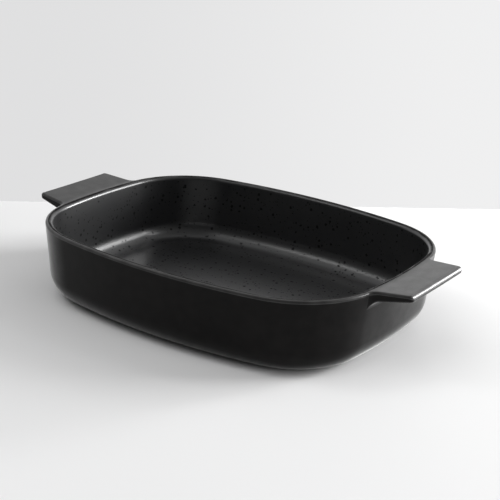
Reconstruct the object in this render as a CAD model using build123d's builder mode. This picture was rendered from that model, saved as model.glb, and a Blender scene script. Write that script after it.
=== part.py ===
from build123d import *
from math import asin, atan2, cos, degrees, radians, sin, sqrt, tan
import os

# Stoneware lasagna dish with two slab handles. Millimetres, +Z up, +X towards the right handle.
# The origin lies on the table, under the middle of the dish.

# Plan of the rim: eight tangent arcs, so no side is straight
rim_length = 321.0
rim_width = 252.5
long_side_radius = 492.0
short_side_radius = 474.0
corner_radius = 77.0

# Section of the pan
rim_height = 66.5
wall_lean = 5.6
wall = 6.5
floor_thickness = 6.5
lower_radius = 21.5
floor_radius = 16.0
rim_outer_radius = 2.0
rim_inner_radius = 2.5

# Foot: a low bare ring round a shallow recess
foot_height = 1.2
foot_width = 8.0
foot_inset = 0.8

# Glaze coat inside, which starts just under the rounding of the rim
glaze = 0.5
glaze_land = 0.6

# Slab handles, from their roots on the short walls to their tips
handle_reach = 29.5
handle_root_width = 95.5
handle_tip_width = 88.0
handle_root_thickness = 9.0
handle_tip_thickness = 5.6
handle_rise = 2.6
handle_corner_radius = 4.0
root_under_radius = 7.0
root_side_radius = 7.0
root_bite = 0.3

overrun = 5.0

os.makedirs("parts", exist_ok=True)

lean = radians(wall_lean)
half_length = rim_length / 2
half_width = rim_width / 2
floor_height = foot_height + floor_thickness

# Centres of the side arcs, and the corner arc's centre, which lies as far from both as tangency asks
long_centre_y = half_width - long_side_radius
short_centre_x = half_length - short_side_radius
long_reach = long_side_radius - corner_radius
short_reach = short_side_radius - corner_radius
centre_gap = sqrt(long_centre_y**2 + short_centre_x**2)
along_gap = (long_reach**2 - short_reach**2 + centre_gap**2) / (2 * centre_gap)
off_gap = sqrt(long_reach**2 - along_gap**2)
corner_x = (short_centre_x * along_gap - long_centre_y * off_gap) / centre_gap
corner_y = long_centre_y - (long_centre_y * along_gap + short_centre_x * off_gap) / centre_gap
long_half_angle = degrees(atan2(corner_x, corner_y - long_centre_y))
short_half_angle = degrees(atan2(corner_y, corner_x - short_centre_x))
corner_angle = 90 - long_half_angle - short_half_angle


def draw_outline(inset):
    """Draw the plan's eight arcs in the open line builder, moved inwards by inset."""
    long_arc = long_side_radius - inset
    short_arc = short_side_radius - inset
    corner_arc = corner_radius - inset
    for side, turn in ((1, 0), (-1, 180)):
        CenterArc((side * short_centre_x, 0), short_arc, turn - short_half_angle, 2 * short_half_angle)
        CenterArc((side * corner_x, side * corner_y), corner_arc, turn + short_half_angle, corner_angle)
        CenterArc((0, side * long_centre_y), long_arc, turn + 90 - long_half_angle, 2 * long_half_angle)
        CenterArc((-side * corner_x, side * corner_y), corner_arc, turn + 90 + long_half_angle, corner_angle)


def leaning_form(inset, bottom, edge_radius):
    """Solid form from the rim's height down to bottom, which leans inwards to a rounded lower edge."""
    with BuildPart() as form:
        with BuildSketch(Plane.XY.offset(rim_height)):
            with BuildLine():
                draw_outline(inset)
            make_face()
        extrude(amount=bottom - rim_height, taper=wall_lean)
        fillet(form.faces().sort_by(Axis.Z)[0].edges(), radius=edge_radius)
    return form.part


outer_form = leaning_form(0, foot_height, lower_radius)
cavity_form = leaning_form(wall, floor_height, floor_radius)
coat_form = leaning_form(wall - glaze, floor_height - glaze, floor_radius + glaze)

# What the clay leaves free for the coat: the coat's outer form, below the line where it starts
glaze_line = rim_height - rim_inner_radius - glaze_land
with BuildPart() as coat_bed:
    add(coat_form)
    split(bisect_by=Plane.XY.offset(glaze_line), keep=Keep.BOTTOM)

with BuildPart() as inner_glaze:
    add(coat_bed.part)
    add(cavity_form, mode=Mode.SUBTRACT)
inner_glaze.part.label = "inner_glaze"
export_step(inner_glaze.part, "parts/inner_glaze.step")

# The handle's root reaches behind the wall, and further where the wall falls back at the dish's corners
flare_reach = handle_root_width / 2 + root_side_radius + root_bite
corner_x_at_flare = corner_x + sqrt(corner_radius**2 - (flare_reach - corner_y) ** 2)
wall_fall = short_centre_x + sqrt(short_side_radius**2 - flare_reach**2) - corner_x_at_flare
set_back = root_bite + wall_fall
inner_reach = set_back + wall

# The rim keeps its square outer edge over the width of each handle's root
with BuildPart() as rim_seats:
    add(outer_form)
    with BuildSketch(Plane.XY.offset(rim_height)):
        Rectangle(rim_length + overrun, handle_root_width + 2 * root_side_radius)
        Rectangle(rim_length - 2 * inner_reach, rim_width, mode=Mode.SUBTRACT)
    extrude(amount=-2 * rim_outer_radius, mode=Mode.INTERSECT)

# The flat underside starts where the lower rounding ends, and the foot stands just inside it
underside_inset = (rim_height - foot_height - lower_radius) * tan(lean) + lower_radius / cos(lean)
foot_outer_inset = underside_inset + foot_inset

with BuildPart() as dish_body:
    add(outer_form)
    fillet(dish_body.faces().sort_by(Axis.Z)[-1].edges(), radius=rim_outer_radius)
    add(rim_seats.part)
    with BuildSketch():
        with BuildLine():
            draw_outline(foot_outer_inset)
        make_face()
        with BuildLine():
            draw_outline(foot_outer_inset + foot_width)
        make_face(mode=Mode.SUBTRACT)
    extrude(amount=floor_height / 2)
    add(cavity_form, mode=Mode.SUBTRACT)
    rim_top = dish_body.faces().filter_by(GeomType.PLANE).sort_by(Axis.Z)[-1]
    fillet(rim_top.inner_wires()[0].edges(), radius=rim_inner_radius)
    add(coat_bed.part, mode=Mode.SUBTRACT)
dish_body.part.label = "dish_body"
export_step(dish_body.part, "parts/dish_body.step")

# A handle's section turns about the axis of the short wall, so that its root follows the wall.
# Distances in it are measured from that axis, where the wall's own arc ends at short_side_radius.
past_reach = handle_reach + overrun
rise_slope = handle_rise / handle_reach
under_slope = (handle_root_thickness + handle_rise - handle_tip_thickness) / handle_reach
root_bottom = rim_height - handle_root_thickness
root_depth = handle_root_thickness + 2 * root_under_radius
corner_offset = -set_back - handle_root_thickness * tan(lean)
root_corner = (short_side_radius + corner_offset, root_bottom + corner_offset * under_slope)
middle_x = half_length + handle_reach / 2
root_foot = short_side_radius - set_back - root_depth * tan(lean)
wall_axis = Axis((short_centre_x, 0, 0), (0, 0, 1))

# The ring runs well past the flares, so that the upper rounding has room to run out in it
half_turn = asin((flare_reach + 3 * root_side_radius) / short_side_radius)
section_plane = Plane(
    origin=(short_centre_x, 0, 0),
    x_dir=(cos(half_turn), -sin(half_turn), 0),
    z_dir=(-sin(half_turn), -cos(half_turn), 0),
)

# The plan's sides run straight from the tip's corners into the wall
side_slope = (handle_root_width - handle_tip_width) / 2 / handle_reach
inner_half_width = handle_root_width / 2 + inner_reach * side_slope

with BuildPart() as right_handle:
    with BuildSketch(section_plane) as section:
        with BuildLine():
            Polyline(
                (short_side_radius - inner_reach, rim_height - inner_reach * rise_slope),
                (short_side_radius + past_reach, rim_height + past_reach * rise_slope),
                (short_side_radius + past_reach, root_bottom + past_reach * under_slope),
                root_corner,
                (root_foot, rim_height - root_depth),
                (root_foot - wall, rim_height - root_depth),
                close=True,
            )
        make_face()
        fillet(section.vertices().sort_by_distance(root_corner)[0], radius=root_under_radius)
    revolve(axis=wall_axis, revolution_arc=2 * degrees(half_turn))
    # Seen from above: a slab with rounded tip corners and hollow flares, which leans as the wall does
    with BuildSketch(Plane.XY.offset(rim_height)) as plan:
        with BuildLine():
            Polyline(
                (half_length - inner_reach, -inner_half_width),
                (half_length + handle_reach, -handle_tip_width / 2),
                (half_length + handle_reach, handle_tip_width / 2),
                (half_length - inner_reach, inner_half_width),
                close=True,
            )
        make_face()
        fillet(plan.vertices().group_by(Axis.X)[-1], radius=handle_corner_radius)
        with Locations((short_centre_x, 0)):
            Circle(short_side_radius - set_back)
        for side in (1, -1):
            root_point = (half_length - set_back, side * handle_root_width / 2)
            fillet(plan.vertices().sort_by_distance(root_point)[0], radius=root_side_radius)
    extrude(amount=root_depth + overrun, dir=(tan(lean), 0, 1), both=True, mode=Mode.INTERSECT)
    # The upper rounding runs from the tip round its corners, along the sides and into the flares
    top = right_handle.faces().sort_by(Axis.Z)[-1]
    fillet(top.edges().filter_by_position(Axis.X, middle_x, middle_x + past_reach), radius=rim_outer_radius)
    # Past the flares only the ring is left, and it goes
    with BuildSketch():
        with Locations((half_length, 0)):
            Rectangle(2 * past_reach, 2 * flare_reach)
    extrude(amount=rim_height + past_reach, mode=Mode.INTERSECT)
    add(outer_form, mode=Mode.SUBTRACT)
right_handle.part.label = "right_handle"
export_step(right_handle.part, "parts/right_handle.step")

with BuildPart() as left_handle:
    mirror(right_handle.part, about=Plane.YZ)
left_handle.part.label = "left_handle"
export_step(left_handle.part, "parts/left_handle.step")
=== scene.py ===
import bmesh
import bpy
import math
from mathutils import Matrix, Vector


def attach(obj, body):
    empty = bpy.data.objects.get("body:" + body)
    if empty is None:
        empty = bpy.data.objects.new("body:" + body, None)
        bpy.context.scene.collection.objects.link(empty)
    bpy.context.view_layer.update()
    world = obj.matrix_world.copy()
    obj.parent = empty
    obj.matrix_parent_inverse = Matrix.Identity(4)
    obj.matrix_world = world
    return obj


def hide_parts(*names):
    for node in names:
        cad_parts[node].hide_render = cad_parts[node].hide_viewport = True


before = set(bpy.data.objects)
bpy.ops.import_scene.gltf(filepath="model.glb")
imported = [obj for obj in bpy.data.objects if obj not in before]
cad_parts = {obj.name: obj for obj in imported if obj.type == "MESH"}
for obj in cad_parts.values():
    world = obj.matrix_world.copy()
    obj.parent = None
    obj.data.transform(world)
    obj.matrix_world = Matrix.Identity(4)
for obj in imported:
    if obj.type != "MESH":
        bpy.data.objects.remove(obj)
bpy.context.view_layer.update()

mm = 0.001

# sizes that the pan and its handles share
pan = {
    "length": 321.0 * mm,
    "width": 252.5 * mm,
    "height": 66.5 * mm,
    "longSideRadius": 492.0 * mm,
    "shortSideRadius": 474.0 * mm,
    "cornerRadius": 77.0 * mm,
    "lean": math.radians(5.6),
    "wall": 6.5 * mm,
    "floorTop": 7.7 * mm,
    "glazeDepth": 0.5 * mm,
    "rimOuterRadius": 2.0 * mm,
    "floorRadius": 16.0 * mm,
    "lowerRadius": 21.5 * mm,
    "footHeight": 1.2 * mm,
}


def insetAt(height, start=0.0):
    # how far a leaning face lies inside the rim's edge at that height
    return start + (pan["height"] - height) * math.tan(pan["lean"])


# node helpers

def addNode(tree, kind, **values):
    node = tree.nodes.new(kind)
    for name, value in values.items():
        setattr(node, name, value)
    return node


def setInputs(node, values):
    for name, value in values.items():
        node.inputs[name].default_value = value


def link(tree, fromSocket, toSocket):
    tree.links.new(fromSocket, toSocket)


def mathNode(tree, operation, first, second=None, clamp=False):
    node = addNode(tree, "ShaderNodeMath", operation=operation, use_clamp=clamp)
    for slot, value in ((0, first), (1, second)):
        if value is None:
            continue
        if isinstance(value, (int, float)):
            node.inputs[slot].default_value = value
        else:
            link(tree, value, node.inputs[slot])
    return node.outputs[0]


def mapRange(tree, value, low, high, toLow=0.0, toHigh=1.0, blend="LINEAR"):
    node = addNode(tree, "ShaderNodeMapRange", interpolation_type=blend)
    link(tree, value, node.inputs["Value"])
    setInputs(node, {"From Min": low, "From Max": high, "To Min": toLow, "To Max": toHigh})
    return node.outputs["Result"]


def mixColors(tree, factor, first, second):
    # a colour mix node takes its two colours in sockets 6 and 7, and gives the mix in output 2
    node = addNode(tree, "ShaderNodeMix", data_type="RGBA")
    link(tree, factor, node.inputs["Factor"])
    for slot, value in ((6, first), (7, second)):
        if isinstance(value, tuple):
            node.inputs[slot].default_value = value
        else:
            link(tree, value, node.inputs[slot])
    return node.outputs[2]


def newGroup(name, kind, inputs, outputs):
    group = bpy.data.node_groups.new(name, kind)
    for label, socketType, value in inputs:
        socket = group.interface.new_socket(label, in_out="INPUT", socket_type=socketType)
        if value is not None:
            socket.default_value = value
    for label, socketType in outputs:
        group.interface.new_socket(label, in_out="OUTPUT", socket_type=socketType)
    return group, addNode(group, "NodeGroupInput"), addNode(group, "NodeGroupOutput")


# camera, as the photo was taken

photo = {
    "azimuth": 33.28,
    "elevation": 19.91,
    "roll": 3.14,
    "distance": 1152.9 * mm,
    "target": (-19.05 * mm, 47.38 * mm, 30.6 * mm),
    "focalPixels": 1274.2,
    "framePixels": 500,
    "sensorWidth": 36.0,
    "wallLineLeft": 201.0,
    "wallLineRight": 209.5,
}


def cameraAxes():
    azimuth = math.radians(photo["azimuth"])
    elevation = math.radians(photo["elevation"])
    roll = math.radians(photo["roll"])
    back = Vector((math.sin(azimuth) * math.cos(elevation), -math.cos(azimuth) * math.cos(elevation),
                   math.sin(elevation)))
    level = Vector((math.cos(azimuth), math.sin(azimuth), 0))
    upright = back.cross(level)
    right = math.cos(roll) * level + math.sin(roll) * upright
    up = -math.sin(roll) * level + math.cos(roll) * upright
    return right, up, back


viewRight, viewUp, viewBack = cameraAxes()
cameraSpot = Vector(photo["target"]) + viewBack * photo["distance"]
cameraTurn = Matrix((viewRight, viewUp, viewBack)).transposed().to_4x4()
cameraData = bpy.data.cameras.new("photo_camera")
cameraData.sensor_width = photo["sensorWidth"]
cameraData.lens = photo["sensorWidth"] * photo["focalPixels"] / photo["framePixels"]
camera = bpy.data.objects.new("photo_camera", cameraData)
camera.matrix_world = Matrix.Translation(cameraSpot) @ cameraTurn
bpy.context.scene.collection.objects.link(camera)
bpy.context.scene.camera = camera


def floorSpot(column, row):
    # where the line of sight through a pixel meets the floor
    middle = photo["framePixels"] / 2
    sight = viewRight * (column - middle) - viewUp * (row - middle) - viewBack * photo["focalPixels"]
    return cameraSpot + sight * (-cameraSpot.z / sight.z)


print("camera set")

# stage: pale floor, pale wall and soft light

stage = {
    "floorReach": 3.0,
    "wallHeight": 2.4,
    "wallReachLeft": 1.6,
    "wallReachRight": 0.45,
    "floorColor": (0.86, 0.86, 0.862, 1),
    # painted light falloff across the glowing wall: shaded on the left, lit on the right
    "wallShadedColor": (0.745, 0.745, 0.75, 1),
    "wallLitColor": (0.87, 0.87, 0.873, 1),
}


def facingOnly(tree, surface):
    # shows its front only, so a view from behind or below still sees the dish
    clear = addNode(tree, "ShaderNodeBsdfTransparent")
    facing = addNode(tree, "ShaderNodeNewGeometry")
    mix = addNode(tree, "ShaderNodeMixShader")
    output = addNode(tree, "ShaderNodeOutputMaterial")
    link(tree, facing.outputs["Backfacing"], mix.inputs[0])
    link(tree, surface, mix.inputs[1])
    link(tree, clear.outputs[0], mix.inputs[2])
    link(tree, mix.outputs[0], output.inputs["Surface"])


def bareMaterial(name):
    material = bpy.data.materials.new(name)
    material.use_nodes = True
    material.node_tree.nodes.clear()
    return material, material.node_tree


def floorMaterial():
    material, tree = bareMaterial("floor_paper")
    matte = addNode(tree, "ShaderNodeBsdfDiffuse")
    matte.inputs["Color"].default_value = stage["floorColor"]
    facingOnly(tree, matte.outputs[0])
    return material


def wallMaterial(middle, along, reach):
    # a glowing backdrop with painted light: a little paler on the right, where the room's light is stronger
    material, tree = bareMaterial("wall_paper")
    place = addNode(tree, "ShaderNodeTexCoord")
    offset = addNode(tree, "ShaderNodeVectorMath", operation="SUBTRACT")
    offset.inputs[1].default_value = middle
    across = addNode(tree, "ShaderNodeVectorMath", operation="DOT_PRODUCT")
    across.inputs[1].default_value = along
    glow = addNode(tree, "ShaderNodeEmission")
    link(tree, place.outputs["Object"], offset.inputs[0])
    link(tree, offset.outputs[0], across.inputs[0])
    share = mapRange(tree, across.outputs["Value"], -reach, reach, blend="SMOOTHSTEP")
    color = mixColors(tree, share, stage["wallShadedColor"], stage["wallLitColor"])
    link(tree, color, glow.inputs["Color"])
    facingOnly(tree, glow.outputs[0])
    return material


def plate(name, corners, material):
    mesh = bpy.data.meshes.new(name)
    mesh.from_pydata([tuple(c) for c in corners], [], [range(len(corners))])
    mesh.materials.append(material)
    obj = bpy.data.objects.new(name, mesh)
    bpy.context.scene.collection.objects.link(obj)
    return obj


floorReach = stage["floorReach"]
floorCorners = [(x * floorReach, y * floorReach, 0) for x, y in ((-1, -1), (1, -1), (1, 1), (-1, 1))]
plate("floor", floorCorners, floorMaterial())
wallLeft = floorSpot(0, photo["wallLineLeft"])
wallRight = floorSpot(photo["framePixels"], photo["wallLineRight"])
wallAlong = (wallRight - wallLeft).normalized()
wallMiddle = (wallLeft + wallRight) / 2
lowLeft = wallMiddle - wallAlong * stage["wallReachLeft"]
lowRight = wallMiddle + wallAlong * stage["wallReachRight"]
wallRise = Vector((0, 0, stage["wallHeight"]))
wall = plate("backdrop", [lowLeft, lowRight, lowRight + wallRise, lowLeft + wallRise],
             wallMaterial(wallMiddle, wallAlong, (wallRight - wallLeft).length / 2))
# the wall is a background alone: the room's light comes from the world and the lamps
wall.visible_shadow = False
wall.visible_diffuse = False

# a lamp's turn runs from +X towards +Y and its lift is above the table, both in degrees
lamps = {
    "window": {"turn": 46.0, "lift": 22.0, "distance": 3.4, "width": 1.6, "height": 1.4, "power": 92.0},
    "strip": {"turn": 58.0, "lift": 11.0, "distance": 1.6, "width": 0.26, "height": 0.40, "power": 13.0},
    "behind": {"turn": 97.0, "lift": 20.0, "distance": 0.74, "width": 0.30, "height": 0.20, "power": 1.1},
    "rightFill": {"turn": 36.0, "lift": 46.0, "distance": 1.8, "width": 0.36, "height": 0.36, "power": 2.4},
    "leftFill": {"turn": 211.0, "lift": 49.0, "distance": 1.6, "width": 0.42, "height": 0.40, "power": 2.4},
    "side": {"turn": 355.0, "lift": 22.0, "distance": 2.4, "width": 1.2, "height": 0.8, "power": 10.0},
    "overhead": {"turn": 240.0, "lift": 62.0, "distance": 2.4, "width": 2.2, "height": 2.2, "power": 15.0},
}
# these two only fill the shadows, and don't show in the glaze
shadowFills = ("side", "overhead")

room = {
    "front": 0.11,
    "back": 0.34,
    "towards": (-0.10, 0.50, 0.70),
    "low": -0.35,
    "high": 0.75,
}


def areaLight(name, turn, lift, distance, width, height, power):
    turn, lift = math.radians(turn), math.radians(lift)
    data = bpy.data.lights.new(name, "AREA")
    data.shape = "RECTANGLE"
    data.size = width
    data.size_y = height
    data.energy = power
    lamp = bpy.data.objects.new(name, data)
    towards = Vector((math.cos(turn) * math.cos(lift), math.sin(turn) * math.cos(lift), math.sin(lift)))
    lamp.location = towards * distance
    lamp.rotation_euler = lamp.location.to_track_quat("Z", "Y").to_euler()
    lamp.visible_camera = False
    bpy.context.scene.collection.objects.link(lamp)
    return lamp


def roomWorld():
    # pale towards the wall and above, dim on the camera's side
    world = bpy.data.worlds.new("soft_room")
    bpy.context.scene.world = world
    world.use_nodes = True
    tree = world.node_tree
    background = tree.nodes["Background"]
    place = addNode(tree, "ShaderNodeTexCoord")
    towards = addNode(tree, "ShaderNodeVectorMath", operation="DOT_PRODUCT")
    towards.inputs[1].default_value = Vector(room["towards"]).normalized()
    link(tree, place.outputs["Generated"], towards.inputs[0])
    level = mapRange(tree, towards.outputs["Value"], room["low"], room["high"], room["front"], room["back"],
                     blend="SMOOTHSTEP")
    link(tree, level, background.inputs["Strength"])
    background.inputs["Color"].default_value = (1, 1, 1, 1)


for lampName, lampValues in lamps.items():
    lamp = areaLight(lampName, **lampValues)
    lamp.visible_glossy = lampName not in shadowFills
roomWorld()
bpy.context.scene.view_settings.view_transform = "Standard"
print("stage and light set")

# materials

mmPerMetre = 1000.0  # the patterns' sizes are given in millimetres
# the part of a noise's values that is spread over a whole range
middleNoise = (0.35, 0.65)
broadNoise = (0.3, 0.7)
stoneNoise = {"mottleDetail": 3.0, "toothDetail": 2.0, "mottleHeight": 0.6, "toothHeight": 0.4}
speckNoise = {"scale": 1100.0, "detail": 1.0, "reach": 2 * mm, "edgeWidth": 0.18}


def grainGroup():
    # mottling and fine tooth of fired stoneware, on object coordinates
    group, entry, leave = newGroup("stone grain", "ShaderNodeTree", [
        ("Mottle Size", "NodeSocketFloat", 14.0),
        ("Tooth Size", "NodeSocketFloat", 0.5),
    ], [("Mottle", "NodeSocketFloat"), ("Tooth", "NodeSocketFloat"), ("Height", "NodeSocketFloat")])
    place = addNode(group, "ShaderNodeTexCoord")
    mottle = addNode(group, "ShaderNodeTexNoise", noise_dimensions="3D")
    mottle.inputs["Detail"].default_value = stoneNoise["mottleDetail"]
    tooth = addNode(group, "ShaderNodeTexNoise", noise_dimensions="3D")
    tooth.inputs["Detail"].default_value = stoneNoise["toothDetail"]
    for texture, label in ((mottle, "Mottle Size"), (tooth, "Tooth Size")):
        link(group, place.outputs["Object"], texture.inputs["Vector"])
        link(group, mathNode(group, "DIVIDE", mmPerMetre, entry.outputs[label]), texture.inputs["Scale"])
    link(group, mottle.outputs["Fac"], leave.inputs["Mottle"])
    link(group, tooth.outputs["Fac"], leave.inputs["Tooth"])
    swell = mathNode(group, "MULTIPLY", mottle.outputs["Fac"], stoneNoise["mottleHeight"])
    pit = mathNode(group, "MULTIPLY", tooth.outputs["Fac"], stoneNoise["toothHeight"])
    link(group, mathNode(group, "ADD", swell, pit), leave.inputs["Height"])
    return group


def speckGroup():
    # iron specks: one blot in some cells of a cell pattern, with a ragged edge
    group, entry, leave = newGroup("iron specks", "ShaderNodeTree", [
        ("Spacing", "NodeSocketFloat", 6.0),
        ("Largest", "NodeSocketFloat", 1.1),
        ("Share", "NodeSocketFloat", 0.8),
        ("Ragged", "NodeSocketFloat", 0.5),
    ], [("Mask", "NodeSocketFloat")])
    place = addNode(group, "ShaderNodeTexCoord")
    wobble = addNode(group, "ShaderNodeTexNoise", noise_dimensions="3D")
    wobble.inputs["Scale"].default_value = speckNoise["scale"]
    wobble.inputs["Detail"].default_value = speckNoise["detail"]
    centred = addNode(group, "ShaderNodeVectorMath", operation="SUBTRACT")
    centred.inputs[1].default_value = (0.5, 0.5, 0.5)
    stretched = addNode(group, "ShaderNodeVectorMath", operation="SCALE")
    moved = addNode(group, "ShaderNodeVectorMath", operation="ADD")
    cells = addNode(group, "ShaderNodeTexVoronoi", voronoi_dimensions="3D", feature="F1")
    tint = addNode(group, "ShaderNodeSeparateColor")
    link(group, place.outputs["Object"], wobble.inputs["Vector"])
    link(group, wobble.outputs["Color"], centred.inputs[0])
    link(group, centred.outputs[0], stretched.inputs[0])
    push = mathNode(group, "MULTIPLY", entry.outputs["Ragged"], speckNoise["reach"])
    link(group, push, stretched.inputs["Scale"])
    link(group, place.outputs["Object"], moved.inputs[0])
    link(group, stretched.outputs[0], moved.inputs[1])
    link(group, moved.outputs[0], cells.inputs["Vector"])
    link(group, mathNode(group, "DIVIDE", mmPerMetre, entry.outputs["Spacing"]), cells.inputs["Scale"])
    link(group, cells.outputs["Color"], tint.inputs[0])
    # each cell's own draw sets its blot's size, and the lowest draws leave the cell bare
    bare = mathNode(group, "SUBTRACT", 1.0, entry.outputs["Share"])
    drawn = mathNode(group, "SUBTRACT", tint.outputs["Red"], bare)
    grown = mathNode(group, "DIVIDE", drawn, entry.outputs["Share"])
    radius = mathNode(group, "MULTIPLY", grown, entry.outputs["Largest"])
    away = mathNode(group, "MULTIPLY", cells.outputs["Distance"], entry.outputs["Spacing"])
    inside = mathNode(group, "SUBTRACT", radius, away)
    mask = mathNode(group, "DIVIDE", inside, speckNoise["edgeWidth"], clamp=True)
    link(group, mask, leave.inputs["Mask"])
    return group


stoneGrain = grainGroup()
ironSpecks = speckGroup()


def newMaterial(name):
    material = bpy.data.materials.new(name)
    material.use_nodes = True
    tree = material.node_tree
    return material, tree, tree.nodes["Principled BSDF"]


def groupNode(tree, group, values):
    node = addNode(tree, "ShaderNodeGroup", node_tree=group)
    setInputs(node, values)
    return node


def bump(tree, height, values, shader):
    node = addNode(tree, "ShaderNodeBump")
    setInputs(node, values)
    link(tree, height, node.inputs["Height"])
    link(tree, node.outputs[0], shader.inputs["Normal"])


clay = {
    "light": (0.0068, 0.0062, 0.0060, 1),
    "dark": (0.0042, 0.0039, 0.0038, 1),
    # paler colour of the rounded edges: thin coat, and painted highlight lines
    "edge": (0.060, 0.059, 0.058, 1),
    "edgeShare": (0.35, 0.55),
    "edgeGloss": 1.8,
    "grain": {"Mottle Size": 11.0, "Tooth Size": 0.45},
    "roughness": (0.40, 0.48),
    "gloss": 0.5,
    "glossAngles": (0.48, 0.86),
    "glossPatches": (0.8, 1.2),
    "bump": {"Distance": 0.06 * mm, "Strength": 0.6},
    "shader": {
        "Specular IOR Level": 0.09,
        "Sheen Weight": 0.72,
        "Sheen Roughness": 0.26,
        "Coat Roughness": 0.38,
        "Coat IOR": 1.8,
    },
}


def clayMaterial():
    material, tree, shader = newMaterial("matte_stoneware_coat")
    setInputs(shader, clay["shader"])
    grain = groupNode(tree, stoneGrain, clay["grain"])
    mottle, tooth = grain.outputs["Mottle"], grain.outputs["Tooth"]
    coat = mixColors(tree, mapRange(tree, mottle, *middleNoise), clay["dark"], clay["light"])
    # the coat is thin over the rounded edges, and the clay shows paler there: this paler colour also paints
    # highlight lines along the rim and the handles' edges
    edge = addNode(tree, "ShaderNodeAttribute", attribute_name="edge")
    patchy = mapRange(tree, mottle, *broadNoise, *clay["edgeShare"])
    edgeWearAndHighlight = mathNode(tree, "MULTIPLY", edge.outputs["Fac"], patchy, clamp=True)
    link(tree, mixColors(tree, edgeWearAndHighlight, coat, clay["edge"]), shader.inputs["Base Color"])
    link(tree, mapRange(tree, tooth, *broadNoise, *clay["roughness"]), shader.inputs["Roughness"])
    # matte from the front, with a soft and patchy gloss at a low angle
    facing = addNode(tree, "ShaderNodeLayerWeight")
    facing.inputs["Blend"].default_value = 0.5
    lowAngle = mapRange(tree, facing.outputs["Facing"], *clay["glossAngles"], 0, clay["gloss"])
    patches = mapRange(tree, mottle, *middleNoise, *clay["glossPatches"])
    lowAngle = mathNode(tree, "MULTIPLY", lowAngle, patches)
    rubbed = mathNode(tree, "MULTIPLY", edgeWearAndHighlight, clay["edgeGloss"])
    link(tree, mathNode(tree, "MAXIMUM", lowAngle, rubbed), shader.inputs["Coat Weight"])
    bump(tree, grain.outputs["Height"], clay["bump"], shader)
    return material


glaze = {
    "base": (0.0042, 0.0044, 0.0051, 1),
    "deep": (0.0024, 0.0026, 0.0031, 1),
    "speck": (0.0005, 0.0005, 0.0005, 1),
    "grain": {"Mottle Size": 18.0, "Tooth Size": 1.6},
    "largeSpecks": {"Spacing": 4.4, "Largest": 1.5, "Share": 0.9, "Ragged": 0.9},
    "smallSpecks": {"Spacing": 2.4, "Largest": 0.75, "Share": 0.6, "Ragged": 0.5},
    "speckTop": 64.0 * mm,
    "speckFade": 2.0 * mm,
    "line": 66.05 * mm,
    "lineWaver": 0.35 * mm,
    "roughness": (0.17, 0.24),
    "dryRoughness": 0.8,
    "speckDry": 0.85,
    "speckHeight": -0.5,
    "grainHeight": 0.6,
    "bump": {"Distance": 0.08 * mm, "Strength": 0.6},
    "shader": {
        "Specular IOR Level": 0.12,
        "Coat Roughness": 0.35,
        "Coat IOR": 1.62,
    },
}


def glazeMaterial():
    material, tree, shader = newMaterial("speckled_satin_glaze")
    setInputs(shader, glaze["shader"])
    grain = groupNode(tree, stoneGrain, glaze["grain"])
    mottle, tooth = grain.outputs["Mottle"], grain.outputs["Tooth"]
    large = groupNode(tree, ironSpecks, glaze["largeSpecks"])
    small = groupNode(tree, ironSpecks, glaze["smallSpecks"])
    specks = mathNode(tree, "MAXIMUM", large.outputs["Mask"], small.outputs["Mask"])
    # the glaze thins out over the lip, along an uneven line, and its specks end a little lower
    place = addNode(tree, "ShaderNodeTexCoord")
    height = addNode(tree, "ShaderNodeSeparateXYZ")
    link(tree, place.outputs["Object"], height.inputs[0])
    speckTop, line, waver = glaze["speckTop"], glaze["line"], glaze["lineWaver"]
    uneven = mapRange(tree, mottle, *broadNoise, -waver, waver)
    level = mathNode(tree, "ADD", height.outputs["Z"], uneven)
    belowLip = mapRange(tree, level, speckTop - glaze["speckFade"], speckTop, 1, 0)
    bare = mapRange(tree, level, line - waver, line + waver)
    specks = mathNode(tree, "MULTIPLY", specks, belowLip)
    ground = mixColors(tree, mapRange(tree, mottle, *middleNoise), glaze["deep"], glaze["base"])
    glazed = mixColors(tree, specks, ground, glaze["speck"])
    link(tree, mixColors(tree, bare, glazed, clay["light"]), shader.inputs["Base Color"])
    satin = mapRange(tree, tooth, *broadNoise, *glaze["roughness"])
    dry = mathNode(tree, "MULTIPLY", mathNode(tree, "MAXIMUM", specks, bare), glaze["dryRoughness"])
    link(tree, mathNode(tree, "MAXIMUM", satin, dry), shader.inputs["Roughness"])
    # the gloss is a clear coat, and the specks lie nearly dry in it
    speckDry = mathNode(tree, "MULTIPLY", specks, glaze["speckDry"])
    clear = mathNode(tree, "SUBTRACT", 1.0, mathNode(tree, "MAXIMUM", speckDry, bare))
    link(tree, clear, shader.inputs["Coat Weight"])
    sunk = mathNode(tree, "MULTIPLY", specks, glaze["speckHeight"])
    swell = mathNode(tree, "MULTIPLY", grain.outputs["Height"], glaze["grainHeight"])
    bump(tree, mathNode(tree, "ADD", sunk, swell), glaze["bump"], shader)
    return material


clayCoat = clayMaterial()
satinGlaze = glazeMaterial()
print("materials made")

# the pan: one section swept along the rim's plan by a geometry nodes tree

def planCentres():
    # centres of the long arcs, the short arcs and the corner arcs
    longY = pan["width"] / 2 - pan["longSideRadius"]
    shortX = pan["length"] / 2 - pan["shortSideRadius"]
    longReach = pan["longSideRadius"] - pan["cornerRadius"]
    shortReach = pan["shortSideRadius"] - pan["cornerRadius"]
    gap = math.hypot(longY, shortX)
    along = (longReach ** 2 - shortReach ** 2 + gap ** 2) / (2 * gap)
    off = math.sqrt(longReach ** 2 - along ** 2)
    cornerX = (shortX * along - longY * off) / gap
    cornerY = longY - (longY * along + shortX * off) / gap
    return longY, shortX, cornerX, cornerY


longY, shortX, cornerX, cornerY = planCentres()
shortTurn = math.atan2(cornerY, cornerX - shortX)
longTurn = math.atan2(cornerX, cornerY - longY)


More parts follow.
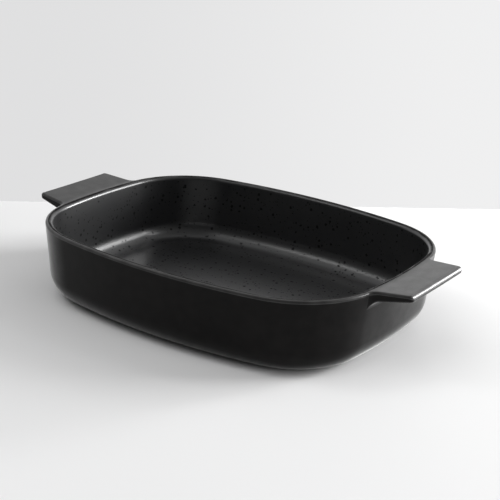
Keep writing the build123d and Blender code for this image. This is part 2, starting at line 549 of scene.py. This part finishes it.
def quarterPlan(steps):
    # from the right side's middle to the far side's middle
    arcs = (
        ((shortX, 0), pan["shortSideRadius"], 0, shortTurn, steps["short"]),
        ((cornerX, cornerY), pan["cornerRadius"], shortTurn, math.pi / 2 - longTurn, steps["corner"]),
        ((0, longY), pan["longSideRadius"], math.pi / 2 - longTurn, math.pi / 2, steps["long"]),
    )
    spots = []
    for (x, y), radius, start, end, count in arcs:
        for k in range(count):
            angle = start + (end - start) * k / count
            spots.append((x + radius * math.cos(angle), y + radius * math.sin(angle)))
    return spots


def rimPlan(steps):
    # the quarter is mirrored to the other end, and both to the near side
    quarter = quarterPlan(steps) + [(0, longY + pan["longSideRadius"])]
    farHalf = quarter + [(-x, y) for x, y in reversed(quarter[:-1])]
    nearHalf = [(x, -y) for x, y in reversed(farHalf[1:-1])]
    return farHalf + nearHalf


def edgeLoop(name, spots, closed, **values):
    mesh = bpy.data.meshes.new(name)
    count = len(spots)
    edges = [(k, (k + 1) % count) for k in range(count if closed else count - 1)]
    mesh.from_pydata([(*spot, 0) for spot in spots], edges, [])
    for label, numbers in values.items():
        mesh.attributes.new(label, "FLOAT", "POINT").data.foreach_set("value", numbers)
    obj = bpy.data.objects.new(name, mesh)
    bpy.context.scene.collection.objects.link(obj)
    return obj


def sweepTree():
    # plan loop in, closed wall out: the section object's corners are rounded, then swept along the loop
    group, entry, leave = newGroup("section sweep", "GeometryNodeTree", [
        ("Geometry", "NodeSocketGeometry", None),
        ("Section", "NodeSocketObject", None),
        ("Rounding Steps", "NodeSocketInt", 8),
        ("Material", "NodeSocketMaterial", None),
    ], [("Geometry", "NodeSocketGeometry")])
    loop = addNode(group, "GeometryNodeMeshToCurve")
    section = addNode(group, "GeometryNodeObjectInfo")
    line = addNode(group, "GeometryNodeMeshToCurve")
    radius = addNode(group, "GeometryNodeInputNamedAttribute", data_type="FLOAT")
    radius.inputs["Name"].default_value = "rounding"
    rounded = addNode(group, "GeometryNodeFilletCurve", mode="POLY")
    swept = addNode(group, "GeometryNodeCurveToMesh")
    smooth = addNode(group, "GeometryNodeSetShadeSmooth")
    realize = addNode(group, "GeometryNodeRealizeInstances")
    paint = addNode(group, "GeometryNodeSetMaterial")
    link(group, entry.outputs["Geometry"], loop.inputs[0])
    link(group, entry.outputs["Section"], section.inputs["Object"])
    link(group, section.outputs["Geometry"], line.inputs[0])
    link(group, line.outputs[0], rounded.inputs["Curve"])
    link(group, entry.outputs["Rounding Steps"], rounded.inputs["Count"])
    link(group, radius.outputs["Attribute"], rounded.inputs["Radius"])
    link(group, loop.outputs[0], swept.inputs["Curve"])
    link(group, rounded.outputs[0], swept.inputs["Profile Curve"])
    link(group, swept.outputs[0], smooth.inputs["Geometry"])
    link(group, smooth.outputs[0], realize.inputs[0])
    link(group, realize.outputs[0], paint.inputs["Geometry"])
    link(group, entry.outputs["Material"], paint.inputs["Material"])
    link(group, paint.outputs[0], leave.inputs[0])
    return group


def runTree(obj, tree, **values):
    modifier = obj.modifiers.new("tree", "NODES")
    modifier.node_group = tree
    named = {item.name: item.identifier for item in tree.interface.items_tree if item.in_out == "INPUT"}
    for label, value in values.items():
        modifier[named[label.replace("_", " ")]] = value
    shape = obj.evaluated_get(bpy.context.evaluated_depsgraph_get())
    mesh = bpy.data.meshes.new_from_object(shape)
    obj.modifiers.remove(modifier)
    return mesh


def finishPiece(name, mesh, node):
    obj = bpy.data.objects.new(name, mesh)
    bpy.context.scene.collection.objects.link(obj)
    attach(obj, "root")
    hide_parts(node)
    return obj


mergeDistance = 0.001 * mm
creaseAngle = math.radians(35)


def closeAndTurn(mesh):
    # fills the open floor and underside, and turns every face outwards
    shape = bmesh.new()
    shape.from_mesh(mesh)
    bmesh.ops.remove_doubles(shape, verts=shape.verts, dist=mergeDistance)
    rims = [edge for edge in shape.edges if edge.is_boundary]
    if rims:
        bmesh.ops.holes_fill(shape, edges=rims, sides=0)
    bmesh.ops.recalc_face_normals(shape, faces=shape.faces)
    for face in shape.faces:
        face.smooth = True
    for edge in shape.edges:
        edge.smooth = edge.is_boundary or edge.calc_face_angle(0) < creaseAngle
    shape.to_mesh(mesh)
    shape.free()
    return mesh


sweep = sweepTree()
planSteps = {"short": 14, "corner": 48, "long": 36}
roundingSteps = 12
supportGap = 0.4 * mm
supportLimit = 0.98  # a support point stays within this share of its straight
planLoop = edgeLoop("rim_plan", rimPlan(planSteps), True)

bodySection = {
    "innerReach": 40.0 * mm,
    "bedFloor": 7.2 * mm,
    "footOuter": 26.7 * mm,
    "footInner": 34.7 * mm,
    "footDraft": 0.2 * mm,
    "footRounding": 0.4 * mm,
    "footHollow": 0.3 * mm,
    "lipRounding": 3.4 * mm,
    # the rim's outer rounding is painted paler as a highlight line, with a glossier coat there
    "rimWearAndHighlight": 0.46,
    "footEdge": 0.8,
    "hair": 0.02 * mm,
}


def bodyCorners():
    # (inset, height, rounding, edge) from the bed of the glaze, over the rim, to the underside's middle
    bed = pan["wall"] - pan["glazeDepth"]
    floor = bodySection["bedFloor"]
    foot = pan["footHeight"]
    outer, inner = bodySection["footOuter"], bodySection["footInner"]
    draft, rounding, hollow = (bodySection[label] for label in ("footDraft", "footRounding", "footHollow"))
    return [
        (bodySection["innerReach"], floor, 0, 0),
        (insetAt(floor, bed), floor, pan["floorRadius"] + pan["glazeDepth"], 0),
        (bed, pan["height"], bodySection["lipRounding"], 0),
        (0, pan["height"], pan["rimOuterRadius"], bodySection["rimWearAndHighlight"]),
        (insetAt(foot), foot, pan["lowerRadius"], 0),
        (outer, foot, hollow, 0),
        (outer + draft, 0, rounding, bodySection["footEdge"]),
        (inner - draft, 0, rounding, bodySection["footEdge"]),
        (inner, foot, hollow, 0),
        (bodySection["innerReach"], foot, 0, 0),
    ]


def glazeCorners():
    # the coat's inner face, which runs over the rim's inner edge, and its back, a hair off the clay
    hair = bodySection["hair"]
    bed = pan["wall"] - pan["glazeDepth"] + hair
    floor = bodySection["bedFloor"] + hair
    lip = bed - bodySection["lipRounding"] + hair
    return [
        (bodySection["innerReach"], pan["floorTop"], 0, 0),
        (insetAt(pan["floorTop"], pan["wall"]), pan["floorTop"], pan["floorRadius"], 0),
        (pan["wall"], pan["height"], bodySection["lipRounding"], 0),
        (lip, pan["height"], 0, 0),
        (lip, pan["height"] - hair, 0, 0),
        (bed, pan["height"] - hair, bodySection["lipRounding"], 0),
        (insetAt(floor, bed), floor, pan["floorRadius"] + pan["glazeDepth"], 0),
        (bodySection["innerReach"], floor, 0, 0),
    ]


def besideCorner(here, there, tangent):
    # a point on the straight just past a corner's rounding, where the straight is long enough
    reach = tangent + supportGap
    if reach < (there - here).length * supportLimit:
        return [(*(here + (there - here).normalized() * reach), 0, 0)]
    return []


def supported(corners):
    # points on the straights beside each rounding keep the smooth shading within it
    spots = [Vector(corner[:2]) for corner in corners]
    line = []
    for k, (here, corner) in enumerate(zip(spots, corners)):
        radius = corner[2]
        tangent = 0.0
        if radius and 0 < k < len(corners) - 1:
            before = (spots[k - 1] - here).normalized()
            after = (spots[k + 1] - here).normalized()
            tangent = radius / math.tan(before.angle(after) / 2)
        if k > 0:
            line += besideCorner(here, spots[k - 1], tangent)
        line.append(corner)
        if k < len(corners) - 1:
            line += besideCorner(here, spots[k + 1], tangent)
    return line


def sweptPiece(name, corners, material, node):
    insets, heights, roundings, edges = zip(*supported(corners))
    # a swept section's own X points out of the plan and its Y down
    spots = [(-inset, -height) for inset, height in zip(insets, heights)]
    section = edgeLoop(name + "_section", spots, False, rounding=roundings, edge=edges)
    mesh = runTree(planLoop, sweep, Section=section, Rounding_Steps=roundingSteps, Material=material)
    bpy.data.objects.remove(section)
    return finishPiece(name, closeAndTurn(mesh), node)


panBody = sweptPiece("pan_body", bodyCorners(), clayCoat, "dish_body")
panGlaze = sweptPiece("pan_glaze", glazeCorners(), satinGlaze, "inner_glaze")
print("pan swept:", len(panBody.data.polygons), "and", len(panGlaze.data.polygons), "faces")
bpy.data.objects.remove(planLoop)

# handles: slabs whose tops run on from the rim, with hollow flares into the wall

handle = {
    "reach": 29.5 * mm,
    "rootWidth": 95.5 * mm,
    "tipWidth": 88.0 * mm,
    "rootThickness": 9.0 * mm,
    "tipThickness": 5.6 * mm,
    "rise": 2.6 * mm,
    "riseStart": -3.0 * mm,
    "riseBlend": 5.0 * mm,
    "tipCorner": 4.0 * mm,
    "sideFlare": 7.2 * mm,
    "underFlare": 7.2 * mm,
    "upperRounding": 2.0 * mm,
    "tipRounding": 3.1 * mm,
    "lowerRounding": 1.2 * mm,
    "bite": 0.4 * mm,
    "flareBite": 0.4 * mm / 3,
    "biteSteps": 3,
    # paler painted highlight, with a glossier coat, along the handles' upper and lower roundings
    "sideWearAndHighlight": 0.5,
    "underWearAndHighlight": 0.3,
}
handleSteps = {"flare": 12, "side": 8, "corner": 8, "across": 30, "rounding": 8}
faceShares = (0.08, 0.5, 0.92)  # down a handle's side, between its two roundings
closeShare = 0.008  # how near to a handle's side its first and last steps across lie
blunt = 0.9  # faces whose normals agree more than this meet without a rounding
probe = 0.01 * mm
leanSlope = math.tan(pan["lean"])


def wallDistance(x, y):
    # how far a point of the plan lies outside the rim's edge
    y = abs(y)
    if math.atan2(y - cornerY, x - cornerX) > shortTurn:
        return math.hypot(x - cornerX, y - cornerY) - pan["cornerRadius"]
    return math.hypot(x - shortX, y) - pan["shortSideRadius"]


def wallLineX(y, distance):
    # x of the line that runs beside the wall at that distance
    y = abs(y)
    if y < (pan["shortSideRadius"] + distance) * math.sin(shortTurn):
        return shortX + math.sqrt((pan["shortSideRadius"] + distance) ** 2 - y ** 2)
    return cornerX + math.sqrt((pan["cornerRadius"] + distance) ** 2 - (y - cornerY) ** 2)


def topHeight(x, y):
    # level over the rim, then a straight rise, joined by a smooth bend
    slope = handle["rise"] / (handle["reach"] - handle["riseBlend"] / 2 - handle["riseStart"])
    past = wallDistance(x, y) - handle["riseStart"]
    if past <= 0:
        return pan["height"]
    if past < handle["riseBlend"]:
        return pan["height"] + slope * past ** 2 / (2 * handle["riseBlend"])
    return pan["height"] + slope * (past - handle["riseBlend"] / 2)


def underProfile(distance):
    # height of the underside and its outward normal in the section square to the wall, wall upright
    slope = (handle["rootThickness"] + handle["rise"] - handle["tipThickness"]) / handle["reach"]
    radius = handle["underFlare"]
    endTurn = math.atan2(1, slope)
    endDistance = radius * (1 - math.cos(endTurn))
    low = pan["height"] - handle["rootThickness"] + slope * endDistance - radius * math.sin(endTurn)
    if distance >= endDistance:
        turn = endTurn
        height = pan["height"] - handle["rootThickness"] + slope * distance
    else:
        turn = math.acos(1 - max(distance, 0) / radius)
        height = low + radius * math.sin(turn)
    return height, math.cos(turn), -math.sin(turn)


def underHeight(x, y):
    return underProfile(wallDistance(x, y))[0]


def handleOutline():
    # half of the plan, from the wall through the flare, the side and the corner to the tip's line
    halfLength = pan["length"] / 2
    root = Vector((halfLength, handle["rootWidth"] / 2))
    tip = Vector((halfLength + handle["reach"], handle["tipWidth"] / 2))
    run = (tip - root).normalized()
    out = Vector((-run.y, run.x))
    flare, corner = handle["sideFlare"], handle["tipCorner"]
    cornerSpot = Vector((cornerX, cornerY))
    gap = root + out * flare - cornerSpot
    lean = gap.dot(run)
    reach = -lean + math.sqrt(lean ** 2 - gap.length_squared + (pan["cornerRadius"] + flare) ** 2)
    flareSpot = root + run * reach + out * flare
    spots = []
    start = (cornerSpot - flareSpot).normalized()
    turn = start.angle(-out)
    for k in range(handleSteps["flare"]):
        angle = math.atan2(start.y, start.x) + turn * k / handleSteps["flare"]
        away = Vector((math.cos(angle), math.sin(angle)))
        # the first points lie a little in the wall, so that the flare grows out of it
        bite = handle["flareBite"] * max(0, 1 - k / handle["biteSteps"])
        spots.append((flareSpot + away * (flare + bite), -away, 0.0))
    sideStart = flareSpot - out * flare
    cornerReach = (tip.x - corner - root.x + corner * out.x) / run.x
    tipSpot = root + run * cornerReach - out * corner
    sideEnd = tipSpot + out * corner
    for k in range(handleSteps["side"]):
        share = k / handleSteps["side"]
        spots.append((sideStart.lerp(sideEnd, share), out, 0.0))
    for k in range(handleSteps["corner"] + 1):
        share = k / handleSteps["corner"]
        angle = math.atan2(out.y, out.x) * (1 - share)
        away = Vector((math.cos(angle), math.sin(angle)))
        spots.append((tipSpot + away * corner, away, share))
    return spots


def roundingSpots(corner, first, second, radius):
    # points along the rounding of a corner, from one face's normal to the other's
    centre = corner - (first + second) * radius / (1 + first.dot(second))
    turn = first.angle(second)
    spots = []
    for k in range(handleSteps["rounding"] + 1):
        share = k / handleSteps["rounding"]
        away = (first * math.sin((1 - share) * turn) + second * math.sin(share * turn)) / math.sin(turn)
        spots.append(centre + away * radius)
    return spots


def edgeStrip(spot, out, share):
    # the side from the top's edge down to the underside's, with both roundings: (point, edge) pairs
    side = Vector((out.x, out.y, -out.x * leanSlope)).normalized()
    radius = handle["upperRounding"] + share * (handle["tipRounding"] - handle["upperRounding"])
    inner = spot - out * radius
    height = topHeight(*inner)
    slopeX = (topHeight(inner.x + probe, inner.y) - height) / probe
    slopeY = (topHeight(inner.x, inner.y + probe) - height) / probe
    above = Vector((-slopeX, -slopeY, 1)).normalized()
    edgeHeight = height + (slopeX * out.x + slopeY * out.y) * radius
    upper = Vector((spot.x + (edgeHeight - pan["height"]) * leanSlope, spot.y, edgeHeight))
    # the roundings' edge value paints a paler highlight there, strongest towards the tip
    wearAndHighlight = handle["sideWearAndHighlight"] + share * (1 - handle["sideWearAndHighlight"])
    strip = [(point, wearAndHighlight) for point in roundingSpots(upper, above, side, radius)]
    # below, the underside's normal follows the hollow under the root
    distance = max(wallDistance(spot.x, spot.y), 0)
    low, away, down = underProfile(distance)
    facing = math.atan2(spot.y - cornerY, spot.x - cornerX)
    if facing > shortTurn:
        ahead = Vector((math.cos(facing), math.sin(facing)))
    else:
        ahead = Vector((spot.x - shortX, spot.y)).normalized()
    under = Vector((ahead.x * away, ahead.y * away, down)).normalized()
    lower = Vector((spot.x + (low - pan["height"]) * leanSlope, spot.y, low))
    radius = min(handle["lowerRounding"], distance / 2)
    if side.dot(under) < blunt and radius > probe:
        ring = roundingSpots(lower, side, under, radius)
    else:
        ring = [lower] * (handleSteps["rounding"] + 1)
    high = strip[-1][0]
    strip += [(high.lerp(ring[0], part), 0.0) for part in faceShares]
    return strip + [(point, handle["underWearAndHighlight"]) for point in ring]


def acrossShares():
    # even steps across the handle, with one close to each side
    count = handleSteps["across"]
    return [0, closeShare] + [k / count for k in range(1, count)] + [1 - closeShare, 1]


def handlePiece(name, side, node):
    shape = bmesh.new()
    # the edge value marks where the clay is painted paler as a highlight, and glossier
    edgeLayer = shape.verts.layers.float.new("edge")

    def addPoint(spot, edge=0.0):
        vert = shape.verts.new((spot[0] * side, spot[1], spot[2]))
        vert[edgeLayer] = edge
        return vert

    outline = handleOutline()
    shares = acrossShares()
    last = len(outline) - 1
    farSide = [[addPoint(*pair) for pair in edgeStrip(*spot)] for spot in outline]
    nearSide = [[addPoint((p[0], -p[1], p[2]), edge) for p, edge in edgeStrip(*spot)] for spot in outline]
    tipSpot = outline[-1][0]
    tipLine = [farSide[last]]
    for share in shares[1:-1]:
        spot = Vector((tipSpot.x, tipSpot.y * (1 - 2 * share)))
        tipLine.append([addPoint(*pair) for pair in edgeStrip(spot, Vector((1, 0)), 1.0)])
    tipLine.append(nearSide[last])

    def gridRow(j, ring, heightOf, leaning):
        # between the two sides, a row follows the wall near the root and is straight at the tip
        a, b = farSide[j][ring], nearSide[j][ring]
        if j == last:
            return [line[ring] for line in tipLine]
        row = [a]
        x, y, z = a.co.x * side, a.co.y, a.co.z
        plain = x - (z - pan["height"]) * leanSlope if leaning else x
        beside = wallDistance(plain, y)
        share = min(max(beside / (handle["reach"] - handle["tipRounding"]), 0), 1)
        for k in shares[1:-1]:
            acrossY = y * (1 - 2 * k)
            flat = plain + (1 - share) * (wallLineX(acrossY, beside) - wallLineX(y, beside))
            high = heightOf(flat, acrossY)
            tilt = (high - pan["height"]) * leanSlope if leaning else 0
            row.append(addPoint((flat + tilt, acrossY, high)))
        return row + [b]

    ringCount = len(farSide[0]) - 1
    topRows = [gridRow(j, 0, topHeight, False) for j in range(last + 1)]
    lowRows = [gridRow(j, ringCount, underHeight, True) for j in range(last + 1)]
    for rows in (topRows, lowRows):
        for one, two in zip(rows, rows[1:]):
            for k in range(len(shares) - 1):
                shape.faces.new((one[k], one[k + 1], two[k + 1], two[k]))
    for lines in (farSide, nearSide, tipLine):
        for one, two in zip(lines, lines[1:]):
            for k in range(ringCount):
                shape.faces.new((one[k], one[k + 1], two[k + 1], two[k]))
    # the inner end is closed inside the wall
    bite = handle["bite"]
    topY, lowY = farSide[0][0].co.y, farSide[0][ringCount].co.y
    start = handle["riseStart"] - bite
    inTop = [addPoint((wallLineX(topY * (1 - 2 * k), start), topY * (1 - 2 * k), pan["height"] - bite / 2))
             for k in shares]
    lowest = underProfile(0)[0] - bite
    shift = (lowest - pan["height"]) * leanSlope
    inLow = [addPoint((wallLineX(lowY * (1 - 2 * k), -bite) + shift, lowY * (1 - 2 * k), lowest))
             for k in shares]
    for one, two in ((topRows[0], inTop), (inTop, inLow), (inLow, lowRows[0])):
        for k in range(len(shares) - 1):
            shape.faces.new((one[k], one[k + 1], two[k + 1], two[k]))
    for line, k in ((farSide[0], 0), (nearSide[0], -1)):
        shape.faces.new([inTop[k]] + line + [inLow[k]])
    mesh = bpy.data.meshes.new(name)
    shape.to_mesh(mesh)
    shape.free()
    mesh.materials.append(clayCoat)
    return finishPiece(name, closeAndTurn(mesh), node)


for handleName, handleSide, handleNode in (
    ("handle_slab_right", 1, "right_handle"),
    ("handle_slab_left", -1, "left_handle"),
):
    handleSlab = handlePiece(handleName, handleSide, handleNode)
    print(handleName, len(handleSlab.data.polygons), "faces")
